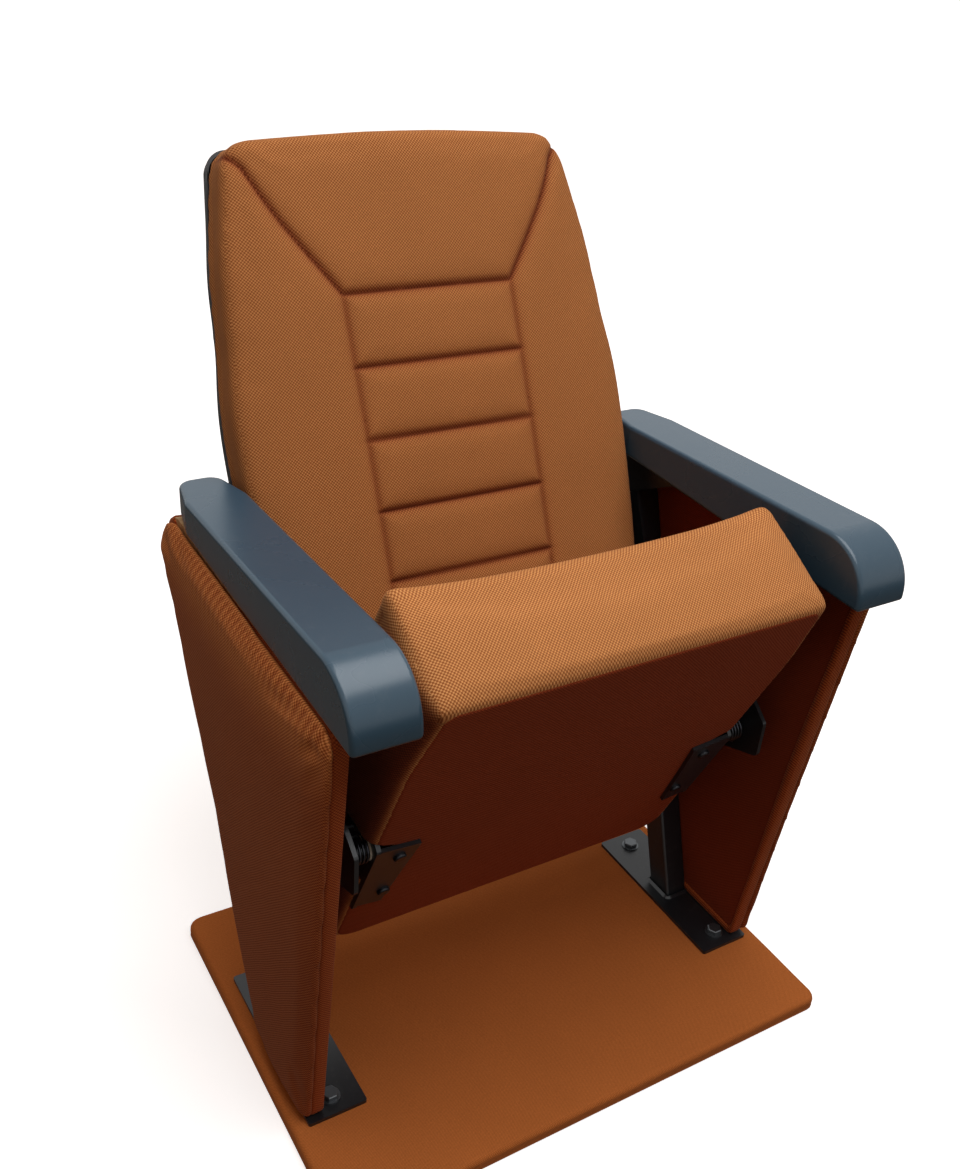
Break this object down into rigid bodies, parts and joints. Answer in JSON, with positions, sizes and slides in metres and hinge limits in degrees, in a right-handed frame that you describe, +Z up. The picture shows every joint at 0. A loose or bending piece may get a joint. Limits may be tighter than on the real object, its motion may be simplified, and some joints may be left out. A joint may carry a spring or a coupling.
{
  "type": "tip up auditorium seat",
  "caption": "Upholstered tip-up auditorium seat with a raked back, moulded armrests and padded side panels, standing on a fabric-covered display base.",
  "frame": {"origin": "centre of the display base's underside, on the floor", "axes": "+Z up; the seat faces -Y; +X is to the right as seen from the front"},
  "size_m": [0.68, 0.6629, 0.9721],
  "materials": {
    "orange_fabric": "woven, matte",
    "underside_fabric": "woven, matte",
    "lining_fabric": "woven, matte",
    "base_fabric": "short flat weave, matte",
    "arm_plastic": "fine grain, satin",
    "shell_plastic": "fine grain, satin",
    "black_steel": "black powder coat, satin",
    "black_screw": "black oxide, semi-gloss",
    "bright_steel": "zinc plated",
    "spring_steel": "oiled",
    "plywood": "unfinished plywood",
    "nylon": "natural nylon",
    "rubber": "matte"
  },
  "bodies": {
    "stand": {"base_board": "plywood", "base_cover": "base_fabric", "foot_plate_left": "black_steel", "foot_plate_right": "black_steel", "anchor_washers": "bright_steel", "anchor_bolts": "bright_steel", "leg_tube_left": "black_steel", "leg_tube_right": "black_steel", "arm_rail_left": "black_steel", "arm_rail_right": "black_steel", "arm_gusset_left": "black_steel", "arm_gusset_right": "black_steel", "armrest_left": "arm_plastic", "armrest_right": "arm_plastic", "arm_screws": "black_screw", "side_pad_left": "orange_fabric", "side_pad_right": "orange_fabric", "side_board_left": "plywood", "side_board_right": "plywood", "side_lining_left": "lining_fabric", "side_lining_right": "lining_fabric", "panel_bolts": "black_screw", "seat_carrier_left": "black_steel", "seat_carrier_right": "black_steel", "pivot_pins": "bright_steel", "retaining_rings": "spring_steel", "stop_pins": "bright_steel", "stop_sleeves": "rubber", "torsion_spring_left": "spring_steel", "torsion_spring_right": "spring_steel", "back_cushion": "orange_fabric", "back_board": "plywood", "back_shell": "shell_plastic", "shell_screws": "black_screw", "back_bracket_left": "black_steel", "back_bracket_right": "black_steel", "back_bolts": "black_screw"},
    "seat": {"seat_bracket_left": "black_steel", "seat_bracket_right": "black_steel", "hinge_bushes": "nylon", "seat_bolts": "black_screw", "seat_pan": "plywood", "seat_bottom_cover": "underside_fabric", "seat_cushion": "orange_fabric"}
  },
  "joints": [
    {"name": "seat_tip", "type": "hinge", "parent": "stand", "child": "seat", "pos_m": [0, -0.072, 0.362], "axis": [1, 0, 0], "range_deg": [0, 64], "stiffness_Nm_per_rad": 1.2, "springref_deg": -57.3, "deforming": ["torsion_spring_left", "torsion_spring_right"]}
  ]
}
